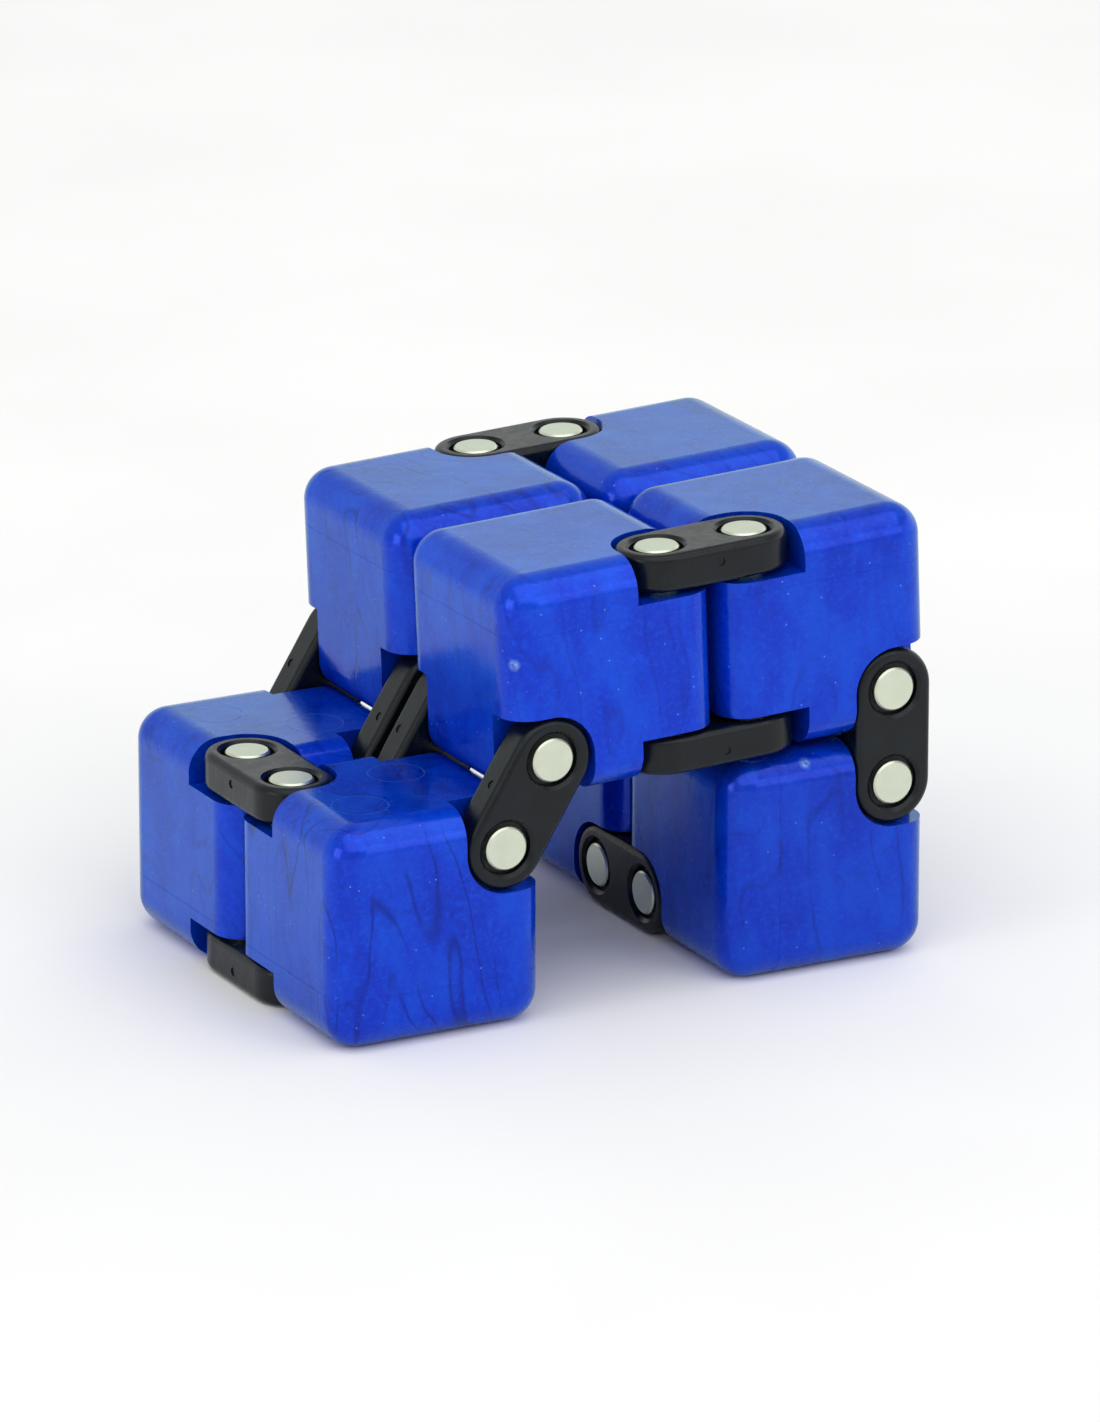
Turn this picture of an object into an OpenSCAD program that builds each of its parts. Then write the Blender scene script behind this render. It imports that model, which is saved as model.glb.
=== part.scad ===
// Infinity cube: a desk toy of eight small hollow cubes joined into one endless ring by
// eight double-pin hinges. It stands half unfolded: four cubes lie tilted on the right
// pair, and the left pair is folded out beside them.
// Origin: middle of the bottom of the whole object. +X runs to the right along the row of
// cubes, +Y to the back, +Z up. All lengths are in millimetres.

/* [Cubes] */
// Edge length of one small cube
cube_edge = 19.55; // [19:0.05:21]
// Radius of the rounded edges and corners of a cube
edge_radius = 2.8; // [2.7:0.05:3]
// Thickness of a cube's moulded wall
wall = 1.5; // [1.2:0.1:1.8]
// Depth of a cube's cover, from its outer face to the seam
cover_depth = 4.8; // [4.7:0.1:6]
// Height of the housing's lip inside the cover
lip_height = 0.8; // [0.5:0.1:0.8]
// Thickness of the lip
lip_thickness = 0.7; // [0.5:0.1:0.8]
// Width and depth of the fine relief along the seam
seam_relief = 0.02; // [0.02:0.01:0.1]
// Radius of the two faint round moulding marks on a housing
mark_radius = 2.4; // [1.5:0.1:3]
// Width and depth of the line that outlines a moulding mark
mark_line = 0.05; // [0.04:0.01:0.12]

/* [Hinges] */
// Gap between two neighbouring cubes of the closed ring
hinge_gap = 0.9; // [0.9:0.05:1.2]
// Distance of a pin's axis from the two cube faces beside it
pin_inset = 3.7; // [3.7:0.05:3.9]
// Radius of a hinge pin
pin_radius = 1.9; // [1.5:0.1:2]
// Radial clearance of a pin in a cube
pin_clearance = 0.05; // [0.02:0.01:0.08]
// Chamfer of a pin's ends
pin_chamfer = 0.15; // [0.05:0.05:0.3]
// Radius of a link's round ends, which is half its width
link_radius = 3.6; // [3.4:0.05:3.65]
// Thickness of a link
link_thickness = 3.3; // [2.8:0.1:3.4]
// How far a link's outer face lies below the face of the cube
link_inset = 0.1; // [0.05:0.05:0.3]
// Rounding of a link's long edges
link_fillet = 0.6; // [0.2:0.05:0.65]
// Step of the mould's parting line round a link
parting_step = 0.02; // [0.02:0.01:0.08]
// Radius of the open ring round a pin's visible end
ring_radius = 2.3; // [2.2:0.02:2.5]
// Depth of that ring
ring_depth = 0.8; // [0.3:0.1:1.2]
// Bevel round the mouth of the ring
ring_bevel = 0.3; // [0.1:0.05:0.35]
// Radius of the small gate mark on a link's long sides
gate_radius = 0.38; // [0.2:0.02:0.4]
// Depth of the gate mark
gate_depth = 0.1; // [0.05:0.05:0.2]
// Clearance between a link and the walls of its notch
notch_clearance = 0.2; // [0.15:0.05:0.3]
// Clearance between a link and the floor of its notch
notch_floor_gap = 0.4; // [0.3:0.05:0.4]

/* [Pose] */
// Tilt of the upper four cubes, left side down, in degrees
block_tilt = 2.2; // [0:0.1:2.8]

/* [Hidden] */
$fn = 64;
GATE_HEIGHT = 0.6 * link_thickness;
NOTCH_RADIUS = link_radius + notch_clearance;
NOTCH_DEPTH = link_inset + link_thickness + notch_floor_gap;
POCKET_WALL = cover_depth - NOTCH_DEPTH;
BOSS_WALL = 1.35;
BOSS_RADIUS = pin_radius + pin_clearance + BOSS_WALL;
CAVITY_EDGE = cube_edge - 2 * wall;
SEAM = cube_edge / 2 - cover_depth;
LIP_GAP = 0.05;
LIP_ROOT = 0.4;
// How far a pin's ends lie below the outer faces of its links
PIN_RECESS = 0.05;
// How far a cut runs past the surface that it opens
OVERCUT = 1;
// The moulding marks' places on the face, in cube edges from its middle
MARK_SPOTS = [[0.23, -0.18], [-0.10, 0.14]];

// A pin's axis from the middle of its cube, and one closed cube from the middle of the pair
PIN_OFFSET = cube_edge / 2 - pin_inset;
CUBE_OFFSET = (cube_edge + hinge_gap) / 2;
// Between the two pins of one hinge, and between the left and right pins of the upper block
PIN_PITCH = 2 * pin_inset + hinge_gap;
PIN_SPAN = 2 * (cube_edge - pin_inset) + hinge_gap;

// The left links lean from the vertical so that the left pair lies flat on the same surface
LINK_LEAN = acos(1 - PIN_SPAN * sin(block_tilt) / PIN_PITCH);
LINK_RUN = PIN_PITCH * sin(LINK_LEAN);
// How far the tilted block reaches to the right of its own pin
RIGHT_REACH = (pin_inset - edge_radius) * (cos(block_tilt) + sin(block_tilt)) + edge_radius;

// Pin axes in the X-Z plane
RIGHT_PIN_X = (PIN_SPAN * cos(block_tilt) + LINK_RUN + cube_edge - pin_inset - RIGHT_REACH) / 2;
RIGHT_LOWER_PIN = [RIGHT_PIN_X, 0, cube_edge - pin_inset];
RIGHT_UPPER_PIN = RIGHT_LOWER_PIN + [0, 0, PIN_PITCH];
LEFT_UPPER_PIN = RIGHT_UPPER_PIN - PIN_SPAN * [cos(block_tilt), 0, sin(block_tilt)];
LEFT_LOWER_PIN = [LEFT_UPPER_PIN.x - LINK_RUN, 0, cube_edge - pin_inset];

// Each cube's name and its side of the closed ring: [left or right, front or back, low or high]
CUBES = [
    ["upper_front_left", [-1, -1, 1]],
    ["upper_front_right", [1, -1, 1]],
    ["upper_back_left", [-1, 1, 1]],
    ["upper_back_right", [1, 1, 1]],
    ["lower_front_right", [1, -1, -1]],
    ["lower_back_right", [1, 1, -1]],
    ["lower_front_left", [-1, -1, -1]],
    ["lower_back_left", [-1, 1, -1]]
];
// Each hinge's name, the names of its two links and the names of its two pins
HINGES = [
    ["upper_front_hinge", ["bottom_link", "top_link"], ["left_pin", "right_pin"]],
    ["upper_back_hinge", ["bottom_link", "top_link"], ["left_pin", "right_pin"]],
    ["right_front_hinge", ["front_link", "back_link"], ["lower_pin", "upper_pin"]],
    ["right_back_hinge", ["front_link", "back_link"], ["lower_pin", "upper_pin"]],
    ["left_front_hinge", ["front_link", "back_link"], ["upper_pin", "lower_pin"]],
    ["left_back_hinge", ["front_link", "back_link"], ["upper_pin", "lower_pin"]],
    ["lower_right_hinge", ["left_link", "right_link"], ["front_pin", "back_pin"]],
    ["lower_left_hinge", ["top_link", "bottom_link"], ["front_pin", "back_pin"]]
];
CUBE_PIECES = ["housing", "cover"];

// ---- Shapes shared by the pieces ----

// A cube with all its edges and corners rounded
module rounded_block(size, radius) {
    flat = size - 2 * radius;
    for (turn = [[0, 0, 0], [0, 90, 0], [90, 0, 0]]) rotate(turn) {
        cube([flat, flat, size], center = true);
        for (x = [-1, 1], y = [-1, 1])
            translate([x, y, 0] * flat / 2) cylinder(h = flat, r = radius, center = true);
    }
    for (x = [-1, 1], y = [-1, 1], z = [-1, 1])
        translate([x, y, z] * flat / 2) sphere(r = radius);
}

// A square outline with rounded corners
module rounded_outline(size, radius) {
    flat = size - 2 * radius;
    square([size, flat], center = true);
    square([flat, size], center = true);
    for (x = [-1, 1], y = [-1, 1]) translate([x, y] * flat / 2) circle(r = radius);
}

// A slab across the cube from one X to another, with that outline
module cross_slab(from, to, size, radius) {
    translate([from, 0, 0]) rotate([0, 90, 0])
        linear_extrude(to - from) rounded_outline(size, radius);
}

// Puts its children on both of a cube's pin axes. There +Z runs along the pin, and the
// cube's two nearest faces are at +X and +Y
module at_upper_pin() {
    translate([-PIN_OFFSET, 0, PIN_OFFSET]) rotate([90, 0, 180]) children();
}
module at_lower_pin() {
    translate([0, PIN_OFFSET, -PIN_OFFSET]) rotate([0, 90, 0]) children();
}

// Outline of the room a link end needs to swing by a quarter turn
module notch_outline(grow) {
    near = NOTCH_RADIUS + grow;
    far = pin_inset + OVERCUT;
    circle(r = near);
    translate([-near, 0]) square([near + far, far]);
    translate([0, -near]) square([far, near + far]);
}

// The notches at both ends of a pin, grown sideways and inwards
module notch_pair(grow) {
    for (end = [0, 1]) mirror([0, 0, end])
        translate([0, 0, cube_edge / 2 - NOTCH_DEPTH - grow])
            linear_extrude(NOTCH_DEPTH + grow + OVERCUT) notch_outline(grow);
}

// ---- One small cube, drawn as the lower front left one of the closed ring ----

// The hollow inside, which leaves walls round the notches and bosses round the pins
module cavity() {
    difference() {
        rounded_block(CAVITY_EDGE, edge_radius - wall);
        at_upper_pin() {
            notch_pair(POCKET_WALL);
            cylinder(h = cube_edge, r = BOSS_RADIUS, center = true);
        }
        at_lower_pin() {
            notch_pair(POCKET_WALL);
            cylinder(h = cube_edge, r = BOSS_RADIUS, center = true);
        }
    }
}

// Everything that is cut from the rounded block of both halves
module cube_cuts() {
    cavity();
    at_upper_pin() {
        notch_pair(0);
        cylinder(h = cube_edge, r = pin_radius + pin_clearance, center = true);
    }
    at_lower_pin() {
        notch_pair(0);
        cylinder(h = cube_edge, r = pin_radius + pin_clearance, center = true);
    }
    difference() {
        cross_slab(SEAM - seam_relief, SEAM + seam_relief, cube_edge + OVERCUT, edge_radius);
        cross_slab(SEAM - OVERCUT, SEAM + OVERCUT, cube_edge - 2 * seam_relief,
            edge_radius - seam_relief);
    }
}

// The lip that centres the cover on the housing, from a given X up
module lip(from, gap) {
    growth = lip_thickness + gap;
    top = SEAM + lip_height;
    difference() {
        cross_slab(from, top + gap, CAVITY_EDGE + 2 * growth, edge_radius - wall + growth);
        cross_slab(from - OVERCUT, top + OVERCUT, CAVITY_EDGE, edge_radius - wall);
        at_lower_pin() notch_pair(POCKET_WALL + LIP_GAP - gap);
    }
}

// Fine circles left by the mould on the closed end of the housing
module moulding_marks() {
    for (spot = MARK_SPOTS)
        translate([-cube_edge / 2, 0, 0]) rotate([0, 90, 0]) translate(spot * cube_edge)
            difference() {
                cylinder(h = 2 * mark_line, r = mark_radius + mark_line / 2, center = true);
                cylinder(h = 4 * mark_line, r = mark_radius - mark_line / 2, center = true);
            }
}

module housing() {
    color("mediumblue") difference() {
        union() {
            difference() {
                rounded_block(cube_edge, edge_radius);
                translate([SEAM, -cube_edge, -cube_edge]) cube(2 * cube_edge);
                cube_cuts();
            }
            lip(SEAM - LIP_ROOT, 0);
        }
        moulding_marks();
    }
}

module cover() {
    color("royalblue") difference() {
        rounded_block(cube_edge, edge_radius);
        translate([SEAM - 2 * cube_edge, -cube_edge, -cube_edge]) cube(2 * cube_edge);
        cube_cuts();
        lip(SEAM - OVERCUT, LIP_GAP);
    }
}

// ---- One hinge: two links and two pins, with the first pin on the Z axis and the second at +X ----

// Half of a link's cross-section, from its middle to its edge, with the parting step
module link_half_section() {
    upper = link_radius - parting_step;
    square([link_radius - link_fillet, link_thickness - link_fillet]);
    translate([0, link_fillet]) square([link_radius, link_thickness - 2 * link_fillet]);
    translate([link_radius - link_fillet, link_fillet]) circle(r = link_fillet);
    square([upper - link_fillet, link_thickness]);
    translate([upper - link_fillet, link_thickness - link_fillet]) circle(r = link_fillet);
}

// A link from its inner face, at the bottom, up to its outer face
module link() {
    difference() {
        union() {
            translate([PIN_PITCH, 0, 0]) rotate([0, 0, -90])
                rotate_extrude(angle = 180) link_half_section();
            rotate([0, 0, 90]) rotate_extrude(angle = 180) link_half_section();
            for (side = [0, 1]) mirror([0, side, 0])
                rotate([90, 0, 90]) linear_extrude(PIN_PITCH) link_half_section();
        }
        for (x = [0, PIN_PITCH]) translate([x, 0, 0]) {
            translate([0, 0, -OVERCUT]) cylinder(h = link_thickness + 2 * OVERCUT, r = pin_radius);
            translate([0, 0, link_thickness - ring_depth])
                cylinder(h = ring_depth + OVERCUT, r = ring_radius);
            translate([0, 0, link_thickness - ring_bevel])
                cylinder(h = 2 * ring_bevel, r1 = ring_radius, r2 = ring_radius + 2 * ring_bevel);
        }
        for (side = [-1, 1]) translate([PIN_PITCH / 2, side * link_radius, GATE_HEIGHT])
            rotate([90, 0, 0]) cylinder(h = 2 * gate_depth, r = gate_radius, center = true);
    }
}

module hinge_link(end) {
    color("darkslategray") mirror([0, 0, end == 0 ? 1 : 0])
        translate([0, 0, cube_edge / 2 - link_inset - link_thickness]) link();
}

module hinge_pin(index) {
    half = cube_edge / 2 - link_inset - PIN_RECESS;
    tip = pin_radius - pin_chamfer;
    color("gainsboro") translate([index * PIN_PITCH, 0, 0]) rotate_extrude()
        polygon([
            [0, -half], [tip, -half], [pin_radius, pin_chamfer - half],
            [pin_radius, half - pin_chamfer], [tip, half], [0, half]
        ]);
}

// ---- Where the pieces stand ----

module in_lower_right_pair() {
    translate(RIGHT_LOWER_PIN - [PIN_OFFSET, 0, PIN_OFFSET]) children();
}
// The left pair has turned a quarter turn outwards
module in_lower_left_pair() {
    translate(LEFT_LOWER_PIN - [PIN_OFFSET, 0, PIN_OFFSET]) rotate([0, 90, 0]) children();
}
module in_upper_block() {
    translate(RIGHT_UPPER_PIN) rotate([0, -block_tilt, 0]) translate([-PIN_OFFSET, 0, PIN_OFFSET])
        children();
}

// An upper cube is a lower one turned and mirrored, and the ring alternates left and right hands
module facing(side) {
    mirror([side.x > 0 ? 1 : 0, 0, 0]) mirror([0, side.y > 0 ? 1 : 0, 0])
        if (side.z > 0) mirror([0, 0, 1]) rotate([0, 0, 180]) rotate([0, 90, 0]) children();
        else children();
}

module place_cube(side) {
    row = [0, side.y * CUBE_OFFSET, 0];
    if (side.z > 0)
        in_upper_block() translate(row + [side.x > 0 ? 0 : -2 * CUBE_OFFSET, 0, 0])
            facing(side) children();
    else if (side.x > 0)
        in_lower_right_pair() translate(row) facing(side) children();
    else
        in_lower_left_pair() translate(row) facing(side) children();
}

// Turns a hinge so that its pins run along Y, then swings it about the first pin
module pins_along_y(first_pin, row, swing) {
    translate(first_pin + [0, row, 0]) rotate([0, swing, 0]) rotate([-90, 0, 0]) children();
}
// A hinge along X under a pair of lower cubes
module pins_along_x() {
    translate([0, PIN_OFFSET - CUBE_OFFSET, -PIN_OFFSET]) rotate([90, 0, 90]) children();
}

module place_hinge(name) {
    left_pin_x = PIN_OFFSET - 2 * CUBE_OFFSET;
    outside_y = CUBE_OFFSET + PIN_OFFSET;
    if (name == "upper_front_hinge")
        in_upper_block() translate([left_pin_x, -outside_y, 0]) children();
    if (name == "upper_back_hinge")
        in_upper_block() translate([left_pin_x, outside_y, 0]) mirror([0, 1, 0]) children();
    if (name == "right_front_hinge")
        pins_along_y(RIGHT_LOWER_PIN, -CUBE_OFFSET, -90) children();
    if (name == "right_back_hinge")
        pins_along_y(RIGHT_LOWER_PIN, CUBE_OFFSET, -90) children();
    if (name == "left_front_hinge")
        pins_along_y(LEFT_UPPER_PIN, -CUBE_OFFSET, 90 + LINK_LEAN) children();
    if (name == "left_back_hinge")
        pins_along_y(LEFT_UPPER_PIN, CUBE_OFFSET, 90 + LINK_LEAN) children();
    if (name == "lower_right_hinge")
        in_lower_right_pair() pins_along_x() children();
    if (name == "lower_left_hinge")
        in_lower_left_pair() pins_along_x() children();
}

// ---- The pieces ----

module cube_housing(c) { place_cube(c[1]) housing(); }
module cube_cover(c) { place_cube(c[1]) cover(); }
module placed_link(h, i) { place_hinge(h[0]) hinge_link(i); }
module placed_pin(h, i) { place_hinge(h[0]) hinge_pin(i); }

for (c = CUBES) {
    cube_housing(c);
    cube_cover(c);
}
for (h = HINGES, i = [0, 1]) {
    placed_link(h, i);
    placed_pin(h, i);
}
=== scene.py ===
"""An infinity cube standing half unfolded on a pale floor: pearlescent blue cubes, black links and
nickel-plated pins, in soft studio light."""

import math

import bpy
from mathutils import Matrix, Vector


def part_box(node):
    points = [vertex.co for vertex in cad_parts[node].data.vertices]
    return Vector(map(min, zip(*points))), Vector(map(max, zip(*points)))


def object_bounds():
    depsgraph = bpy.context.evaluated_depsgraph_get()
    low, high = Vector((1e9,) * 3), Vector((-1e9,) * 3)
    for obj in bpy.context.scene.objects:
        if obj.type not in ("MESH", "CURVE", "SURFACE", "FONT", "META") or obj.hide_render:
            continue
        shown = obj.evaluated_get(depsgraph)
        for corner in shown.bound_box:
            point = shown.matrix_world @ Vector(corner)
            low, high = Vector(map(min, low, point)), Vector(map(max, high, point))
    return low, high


MM = 0.001

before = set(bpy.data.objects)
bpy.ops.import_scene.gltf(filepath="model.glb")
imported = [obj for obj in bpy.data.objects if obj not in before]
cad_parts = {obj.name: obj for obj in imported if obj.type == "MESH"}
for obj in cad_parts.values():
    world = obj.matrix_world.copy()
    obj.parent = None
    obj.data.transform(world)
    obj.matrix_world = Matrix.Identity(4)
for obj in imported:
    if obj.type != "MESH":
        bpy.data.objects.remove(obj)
size_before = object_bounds()
low, high = size_before
middle = (low + high) / 2


def direction(azimuth, elevation):
    """Unit vector from the object towards a point at that azimuth (0 is in front) and elevation."""
    a, e = math.radians(azimuth), math.radians(elevation)
    return Vector((math.sin(a) * math.cos(e), -math.cos(a) * math.cos(e), math.sin(e)))


# ---- Camera ----

CAMERA_AZIMUTH, CAMERA_ELEVATION = -27.93, 18.19
CAMERA_DISTANCE = 0.86019
LENS = 254.94
# where the camera looks, in millimetres from the middle of the object's box
AIM = (3.13, 1.90, -0.79)

back = direction(CAMERA_AZIMUTH, CAMERA_ELEVATION)
aim = middle + Vector(AIM) * MM
camera = bpy.data.objects.new("camera", bpy.data.cameras.new("camera"))
bpy.context.scene.collection.objects.link(camera)
bpy.context.scene.camera = camera
camera.location = aim + back * CAMERA_DISTANCE
camera.rotation_mode = "QUATERNION"
camera.rotation_quaternion = (-back).to_track_quat("-Z", "Y")
camera.data.sensor_width = 36
camera.data.lens = LENS
camera.data.clip_start = 0.05
camera.data.clip_end = 60

# ---- Node helpers ----


class Nodes:
    """Builds a node tree with short calls. Sockets and plain values can be mixed."""

    def __init__(self, tree):
        self.tree = tree
        tree.nodes.clear()

    def add(self, kind, settings=(), **inputs):
        node = self.tree.nodes.new(kind)
        for key, value in dict(settings).items():
            setattr(node, key, value)
        for key, value in inputs.items():
            self.plug(value, node.inputs[key.replace("_", " ")])
        return node

    def plug(self, value, socket):
        if isinstance(value, bpy.types.NodeSocket):
            self.tree.links.new(value, socket)
        else:
            socket.default_value = value

    def math(self, operation, a, b=0.0):
        node = self.add("ShaderNodeMath", {"operation": operation})
        self.plug(a, node.inputs[0])
        self.plug(b, node.inputs[1])
        return node.outputs[0]

    def vector(self, operation, a, b=(0, 0, 0), scale=1.0):
        node = self.add("ShaderNodeVectorMath", {"operation": operation})
        self.plug(a, node.inputs[0])
        self.plug(b, node.inputs[1])
        if operation == "SCALE":
            self.plug(scale, node.inputs["Scale"])
        return node.outputs["Value" if operation in ("LENGTH", "DOT_PRODUCT") else "Vector"]

    def noise(self, vector, scale, detail=2.0, roughness=0.5):
        """Seamless noise, whose "Fac" and "Color" outputs lie round 0.5."""
        inputs = {"Vector": vector, "Scale": scale, "Detail": detail, "Roughness": roughness}
        return self.add("ShaderNodeTexNoise", **inputs)

    def ramp(self, value, low, high, to_low=0.0, to_high=1.0):
        """Smooth step of value from low..high to to_low..to_high."""
        node = self.add("ShaderNodeMapRange", {"interpolation_type": "SMOOTHSTEP"})
        names = ("Value", "From Min", "From Max", "To Min", "To Max")
        for name, given in zip(names, (value, low, high, to_low, to_high)):
            self.plug(given, node.inputs[name])
        return node.outputs["Result"]

    def mix(self, factor, a, b, blend="MIX"):
        """Colour mix. The node's colour sockets are inputs 6 and 7 and output 2."""
        node = self.add("ShaderNodeMix", {"data_type": "RGBA", "blend_type": blend})
        self.plug(factor, node.inputs[0])
        self.plug(a, node.inputs[6])
        self.plug(b, node.inputs[7])
        return node.outputs[2]

    def bump(self, height, distance, normal=None):
        node = self.add("ShaderNodeBump", Height=height, Distance=distance, Strength=1.0)
        if normal is not None:
            self.plug(normal, node.inputs["Normal"])
        return node.outputs["Normal"]


def new_material(name):
    made = bpy.data.materials.new(name)
    made.use_nodes = True
    return made, Nodes(made.node_tree)


def object_millimetres(n, offset=(0, 0, 0), turn=(0, 0, 0)):
    """The surface point in millimetres, turned and moved so that each piece has its own pattern."""
    coords = n.add("ShaderNodeTexCoord").outputs["Object"]
    settings = {"Location": offset, "Rotation": turn, "Scale": (1 / MM, 1 / MM, 1 / MM)}
    return n.add("ShaderNodeMapping", Vector=coords, **settings).outputs["Vector"]


def finish_surface(n, base, roughness, normal, **fixed):
    """Joins the patterns to the shader. What is the same all over is set on its sockets."""
    shader = n.add("ShaderNodeBsdfPrincipled")
    n.plug(base, shader.inputs["Base Color"])
    n.plug(roughness, shader.inputs["Roughness"])
    n.plug(normal, shader.inputs["Normal"])
    for key, value in fixed.items():
        shader.inputs[key.replace("_", " ")].default_value = value
    out = n.add("ShaderNodeOutputMaterial")
    n.tree.links.new(shader.outputs[0], out.inputs["Surface"])
    return shader


# ---- Materials ----

BLUE = (0.0006, 0.033, 0.54, 1)
BLUE_DARK = (0.0003, 0.008, 0.20, 1)
BLUE_LIGHT = (0.002, 0.080, 0.70, 1)
# the painted highlight on the edge of the round moulding marks
RING_PAINTED_HIGHLIGHT = (0.04, 0.16, 0.75, 1)
# pale flakes in the plastic, and also the painted glint of the pits
FLAKE_AND_GLINT = (0.35, 0.60, 0.95, 1)
BLACK = (0.001, 0.003, 0.005, 1)
BLACK_RUBBED = (0.003, 0.006, 0.009, 1)
NICKEL = (0.63, 0.68, 0.55, 1)
NICKEL_LIGHT = (0.66, 0.71, 0.58, 1)
# the pigment's mirror share, whose tint dulls red and blue at a glancing view, under a clear coat
PEARL = {
    "Metallic": 0.42,
    "Specular_IOR_Level": 0.0,
    "Specular_Tint": (0.4, 1, 0.25, 1),
    "Coat_Weight": 1.0,
    "Coat_IOR": 1.29,
    "Coat_Roughness": 0.14,
}
# radius of the round moulding marks, in millimetres
RING_RADIUS = 2.4


def contour(n, value, level, width):
    """1 on the line where a value crosses a level, fading to 0 at that width."""
    return n.ramp(n.math("ABSOLUTE", n.math("SUBTRACT", value, level)), 0.0, width, 1.0, 0.0)


def sparse_cells(n, point, scale, share):
    """Random cells, whose outputs give the way to their points, and 1 in a share of them."""
    cells = n.add("ShaderNodeTexVoronoi", Vector=point, Scale=scale)
    shade = n.add("ShaderNodeSeparateColor", Color=cells.outputs["Color"]).outputs[0]
    return cells, n.math("LESS_THAN", shade, share)


def distance_from(n, centre, axes=(1, 1, 1)):
    """Distance in millimetres of the surface point from a centre, along the axes that aren't 0."""
    coords = n.vector("SCALE", n.add("ShaderNodeTexCoord").outputs["Object"], scale=1 / MM)
    away = n.vector("SUBTRACT", coords, tuple(c / MM for c in centre))
    return n.vector("LENGTH", n.vector("MULTIPLY", away, axes))


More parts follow.
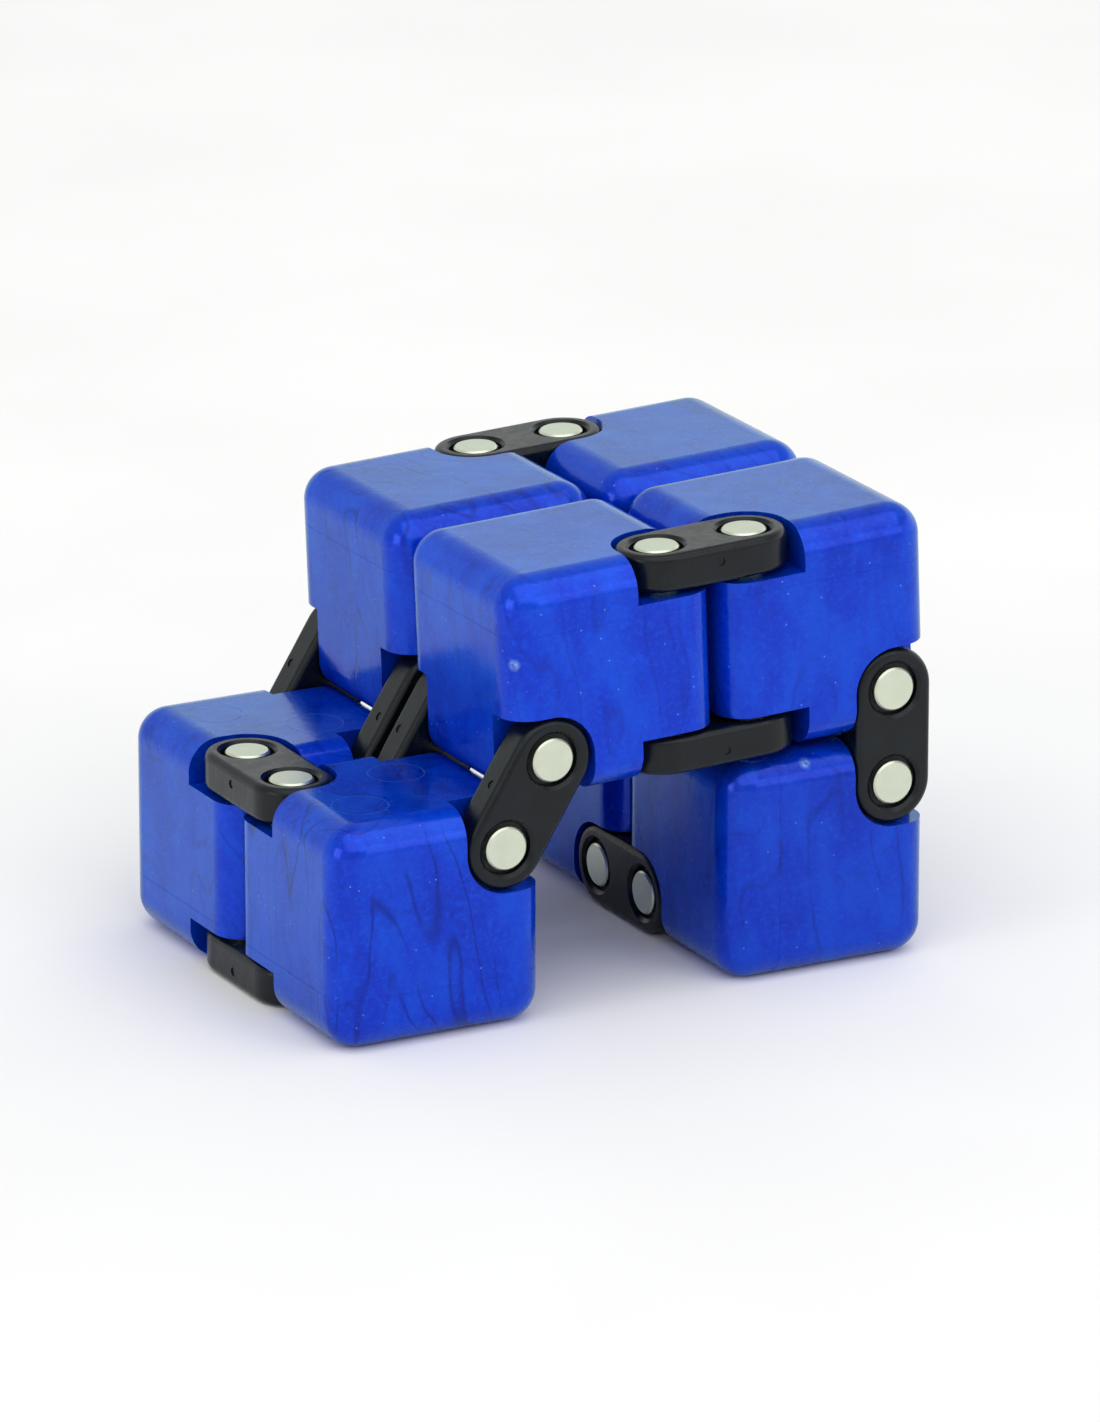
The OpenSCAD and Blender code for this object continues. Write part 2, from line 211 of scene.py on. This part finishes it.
def blue_plastic(name, offset, turn, tone, lines_strength, rings=(), pits=()):
    """Moulded plastic with pearl pigment under a clear skin: flow lines, folds and flakes."""
    made, n = new_material(name)
    point = object_millimetres(n, offset, turn)

    # the melt ran along Z: points are warped a little, then stretched along it. The lines are
    # where the stretched noise crosses evenly spaced levels, so they run side by side
    drift = n.vector("SUBTRACT", n.noise(point, 0.10, 1.0).outputs["Color"], (0.5, 0.5, 0.5))
    warped = n.vector("ADD", point, n.vector("SCALE", drift, scale=3.0))
    stretched = n.vector("MULTIPLY", warped, (1.0, 1.0, 0.14))
    flow = n.noise(stretched, 0.13, 1.6, 0.45).outputs["Fac"]
    steps = n.math("PINGPONG", flow, 0.055)
    lines = n.ramp(steps, 0.0, 0.012, 1.0, 0.0)
    patches = n.noise(point, 0.13, 1.0).outputs["Fac"]
    shown = n.ramp(patches, 0.38, 0.56, 0.1, 1.0)
    wisps = contour(n, n.noise(warped, 0.20, 2.5, 0.55).outputs["Fac"], 0.5, 0.010)
    lines = n.math("MULTIPLY", n.math("MAXIMUM", lines, n.math("MULTIPLY", wisps, 0.5)), shown)

    # small folds, like a hairpin with the bend up, where the melt piled up
    cells, chosen = sparse_cells(n, warped, 0.19, 0.35)
    way = n.vector("SUBTRACT", warped, cells.outputs["Position"])
    across = n.vector("LENGTH", n.vector("MULTIPLY", way, (1, 1, 0)))
    along = n.add("ShaderNodeSeparateXYZ", Vector=way).outputs["Z"]
    hairpin = contour(n, n.math("ADD", along, n.math("MULTIPLY", across, 2.2)), 0.9, 0.32)
    near = n.ramp(cells.outputs["Distance"], 0.14, 0.26, 1.0, 0.0)
    folds = n.math("MULTIPLY", n.math("MULTIPLY", hairpin, near), chosen)
    dark = n.math("MULTIPLY", n.math("MAXIMUM", lines, n.math("MULTIPLY", folds, 0.7)), lines_strength)

    cloud = n.noise(n.vector("MULTIPLY", warped, (1.0, 1.0, 0.45)), 0.22, 3.5, 0.6).outputs["Fac"]
    streaks = n.noise(stretched, 0.9, 2.0, 0.6).outputs["Fac"]
    cloud = n.math("ADD", n.math("MULTIPLY", cloud, 0.88), n.math("MULTIPLY", streaks, 0.12))
    colour = n.mix(n.ramp(cloud, 0.40, 0.66, 0.0, 0.55), BLUE, BLUE_LIGHT)
    colour = n.mix(n.ramp(cloud, 0.48, 0.32, 0.0, 0.15), colour, BLUE_DARK)
    speckle = n.noise(n.vector("MULTIPLY", point, (0.8, 0.8, 1.0)), 2.8, 2.0, 0.6).outputs["Fac"]
    grain = n.noise(point, 6.0, 2.0, 0.7).outputs["Fac"]
    colour = n.mix(n.ramp(speckle, 0.48, 0.74, 0.0, 0.48), colour, BLUE_LIGHT)
    colour = n.mix(n.ramp(speckle, 0.46, 0.26, 0.0, 0.18), colour, BLUE_DARK)
    colour = n.mix(n.math("MULTIPLY", dark, 0.62), colour, BLUE_DARK)

    flakes, chosen = sparse_cells(n, point, 1.7, 0.09)
    specks = n.math("MULTIPLY", n.ramp(flakes.outputs["Distance"], 0.06, 0.15, 1.0, 0.0), chosen)
    colour = n.mix(n.math("MULTIPLY", specks, 0.45), colour, FLAKE_AND_GLINT)
    # painted light and shade: the whole cube's colour is made lighter or darker by its factor
    colour = n.mix(1.0, colour, (tone, tone, tone, 1), "MULTIPLY")

    # round moulding marks, with a painted highlight: a faint pale ring where their edge would catch
    # the light
    for centre in rings:
        ring = contour(n, distance_from(n, centre, (1, 1, 0)), RING_RADIUS, 0.13)
        colour = n.mix(n.math("MULTIPLY", ring, 0.8), colour, RING_PAINTED_HIGHLIGHT)

    smudge = n.noise(point, 0.25, 3.0, 0.6).outputs["Fac"]
    rough = n.ramp(smudge, 0.3, 0.7, 0.24, 0.32)
    waves = n.noise(point, 0.30, 2.0, 0.5).outputs["Fac"]
    skin = n.bump(waves, 0.030 * MM)
    skin = n.bump(n.math("MULTIPLY", dark, -1.0), 0.006 * MM, skin)

    # small uneven pits in the skin, with a painted glint in pale specks and painted shade in the
    # darker middle
    for centre in pits:
        crumbs = n.noise(point, 2.6, 2.0, 0.6).outputs["Fac"]
        away = n.math("ADD", distance_from(n, centre), n.math("MULTIPLY", crumbs, 0.5))
        inside = n.ramp(away, 0.35, 0.95, 1.0, 0.0)
        pit_painted_glint = n.math("MULTIPLY", inside, n.ramp(crumbs, 0.42, 0.62, 0.35, 1.0))
        colour = n.mix(n.math("MULTIPLY", pit_painted_glint, 0.7), colour, FLAKE_AND_GLINT)
        # painted shade in the pit's hollow middle
        colour = n.mix(n.ramp(away, 0.34, 0.46, 0.35, 0.0), colour, BLUE_DARK)
        skin = n.bump(n.math("MULTIPLY", inside, crumbs), 0.06 * MM, skin)

    normal = n.bump(n.math("ADD", grain, speckle), 0.012 * MM, skin)
    shader = finish_surface(n, colour, rough, normal, **PEARL)
    n.plug(n.bump(speckle, 0.0012 * MM, skin), shader.inputs["Coat Normal"])
    return made


def black_plastic(name, offset):
    """Satin moulded plastic with a fine grain and a few rubbed places."""
    made, n = new_material(name)
    point = object_millimetres(n, offset)
    cloud = n.noise(point, 0.5, 3.0, 0.6).outputs["Fac"]
    colour = n.mix(n.ramp(cloud, 0.3, 0.7), BLACK, BLACK_RUBBED)
    grain = n.noise(point, 7.0, 3.0, 0.6).outputs["Fac"]
    streak = n.noise(n.vector("MULTIPLY", point, (1.0, 1.0, 0.3)), 1.2, 3.0, 0.6).outputs["Fac"]
    rough = n.ramp(streak, 0.3, 0.7, 0.25, 0.35)
    normal = n.bump(cloud, 0.02 * MM)
    normal = n.bump(grain, 0.008 * MM, normal)
    finish_surface(n, colour, rough, normal, IOR=1.36)
    return made


def nickel(name, offset):
    """Nickel-plated steel with a fine matte grain."""
    made, n = new_material(name)
    point = object_millimetres(n, offset)
    cloud = n.noise(point, 0.7, 2.0, 0.5).outputs["Fac"]
    colour = n.mix(n.ramp(cloud, 0.3, 0.7), NICKEL, NICKEL_LIGHT)
    grain = n.noise(point, 9.0, 3.0, 0.7).outputs["Fac"]
    rough = n.ramp(grain, 0.3, 0.7, 0.34, 0.42)
    normal = n.bump(grain, 0.004 * MM)
    finish_surface(n, colour, rough, normal, Metallic=1.0)
    return made


# each cube's turn of the pattern, a factor that paints light and shade on its colour (lighter upper
# front left, darker lower right pair), and how clear its flow lines are
CUBES = {
    "upper_front_left": ((0.15, 0.1, 0), 1.06, 0.42),
    "upper_front_right": ((0.1, -0.1, 0.4), 1.0, 0.45),
    "upper_back_left": ((0.2, 0.25, 0.9), 1.0, 0.85),
    "upper_back_right": ((1.3, 0.4, 0.3), 1.0, 0.45),
    "lower_front_right": ((-0.1, 0.2, 0.2), 0.9, 0.6),
    "lower_back_right": ((0.3, 0.1, 0.6), 0.9, 0.6),
    "lower_front_left": ((0.05, 0.08, 0), 1.0, 1.0),
    "lower_back_left": ((0.4, 0.6, 0.1), 1.0, 0.6),
}

# from the cube's middle, in millimetres: the moulding marks on top of the two cubes that are
# folded out, whose closed ends face up, and a pit on the front of two others
RINGS = {
    "lower_front_left_housing": ((-4.5, -3.5, 0), (2.0, 2.7, 0)),
    "lower_back_left_housing": ((-4.5, 3.5, 0), (2.0, -2.7, 0)),
}
PITS = {
    "upper_front_left": ((-9.1, -8.8, 2.3),),
    "lower_front_right": ((-2.2, -8.95, 8.95),),
}


def cube_middle(cube):
    """The middle of the box round a cube's two halves."""
    corners = [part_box(f"{cube}_{half}") for half in ("housing", "cover")]
    least = Vector(min(c[0][i] for c in corners) for i in range(3))
    most = Vector(max(c[1][i] for c in corners) for i in range(3))
    return (least + most) / 2


for index, (name, node) in enumerate(sorted(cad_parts.items())):
    # a cube's housing and cover come next to each other in this order and share one pattern
    index = index // 2
    offset = (17.3 * index + 3.1, 29.7 * index - 11.0, 7.9 * index + 5.3)
    if name.endswith(("_housing", "_cover")):
        cube = name.rsplit("_", 1)[0]
        centre = cube_middle(cube)
        rings = [centre + Vector(spot) * MM for spot in RINGS.get(name, ())]
        pits = [centre + Vector(spot) * MM for spot in PITS.get(cube, ())]
        made = blue_plastic(name + "_blue", offset, *CUBES[cube], rings, pits)
    elif name.endswith("_link"):
        made = black_plastic(name + "_black", offset)
    else:
        made = nickel(name + "_nickel", offset)
    node.data.materials.clear()
    node.data.materials.append(made)

# ---- Floor, surroundings and lights ----

# half the floor's side, in metres
FLOOR = 30.0
corners = [(-FLOOR, -FLOOR, 0), (FLOOR, -FLOOR, 0), (FLOOR, FLOOR, 0), (-FLOOR, FLOOR, 0)]
floor_mesh = bpy.data.meshes.new("floor")
floor_mesh.from_pydata(corners, [], [(0, 1, 2, 3)])
floor = bpy.data.objects.new("floor", floor_mesh)
floor.location.z = low.z
bpy.context.scene.collection.objects.link(floor)
made, n = new_material("floor_matte")
point = object_millimetres(n)
tone = n.noise(point, 0.02, 2.0).outputs["Fac"]
paper = n.noise(point, 1.6, 2.0).outputs["Fac"]
colour = n.mix(n.ramp(tone, 0.3, 0.7), (0.90, 0.90, 0.90, 1), (0.93, 0.93, 0.93, 1))
finish_surface(n, colour, 0.8, n.bump(paper, 0.01 * MM), Specular_IOR_Level=0.1)
floor_mesh.materials.append(made)

# the surroundings: a white sweep whose brightness changes smoothly round the object, up to a
# darker ceiling. Each side's lobe is the squared cosine, so equal lobes make an even ring
SIDES = (
    ((1, 0, 0), (1.50, 1.50, 1.50)),
    ((-1, 0, 0), (0.62, 0.62, 0.62)),
    ((0, 1, 0), (0.90, 0.95, 0.92)),
    ((0, -1, 0), (0.55, 0.55, 0.55)),
)
CEILING = (0.68, 0.68, 0.67)
# the direction's height at which the sweep ends and at which the ceiling is reached
CEILING_STARTS, CEILING_FULL = 0.36, 0.52
world = bpy.data.worlds.new("studio")
world.use_nodes = True
bpy.context.scene.world = world
n = Nodes(world.node_tree)
towards = n.vector("NORMALIZE", n.add("ShaderNodeTexCoord").outputs["Generated"])
level = n.vector("NORMALIZE", n.vector("MULTIPLY", towards, (1, 1, 0)))
ring = (0, 0, 0)
for axis, colour in SIDES:
    facing = n.math("MAXIMUM", n.vector("DOT_PRODUCT", level, axis), 0.0)
    lobe = n.vector("SCALE", colour, scale=n.math("MULTIPLY", facing, facing))
    ring = n.vector("ADD", ring, lobe)
height = n.add("ShaderNodeSeparateXYZ", Vector=towards).outputs["Z"]
up = n.ramp(height, CEILING_STARTS, CEILING_FULL)
ceiling = n.vector("SCALE", CEILING, scale=up)
sweep = n.vector("SCALE", ring, scale=n.math("SUBTRACT", 1.0, up))
sky = n.add("ShaderNodeBackground", Color=n.vector("ADD", sweep, ceiling), Strength=1.0)
n.tree.links.new(sky.outputs[0], n.add("ShaderNodeOutputWorld").inputs["Surface"])

# name, azimuth, elevation, distance in metres, side of the square, power in watts
LIGHTS = (
    ("right_box", 29, 21, 0.8, 0.30, 0.30),
    ("left_box", -80, 14, 2.0, 0.95, 6.0),
    ("top_front", -10, 60, 2.0, 2.80, 25.0),
)
for name, azimuth, elevation, distance, side, power in LIGHTS:
    lamp = bpy.data.lights.new(name, "AREA")
    lamp.shape, lamp.size, lamp.energy = "SQUARE", side, power
    holder = bpy.data.objects.new(name, lamp)
    bpy.context.scene.collection.objects.link(holder)
    towards = direction(azimuth, elevation)
    holder.location = middle + towards * distance
    holder.rotation_mode = "QUATERNION"
    holder.rotation_quaternion = towards.to_track_quat("Z", "Y")

bpy.context.scene.view_settings.view_transform = "Standard"
bpy.context.scene.view_settings.look = "None"
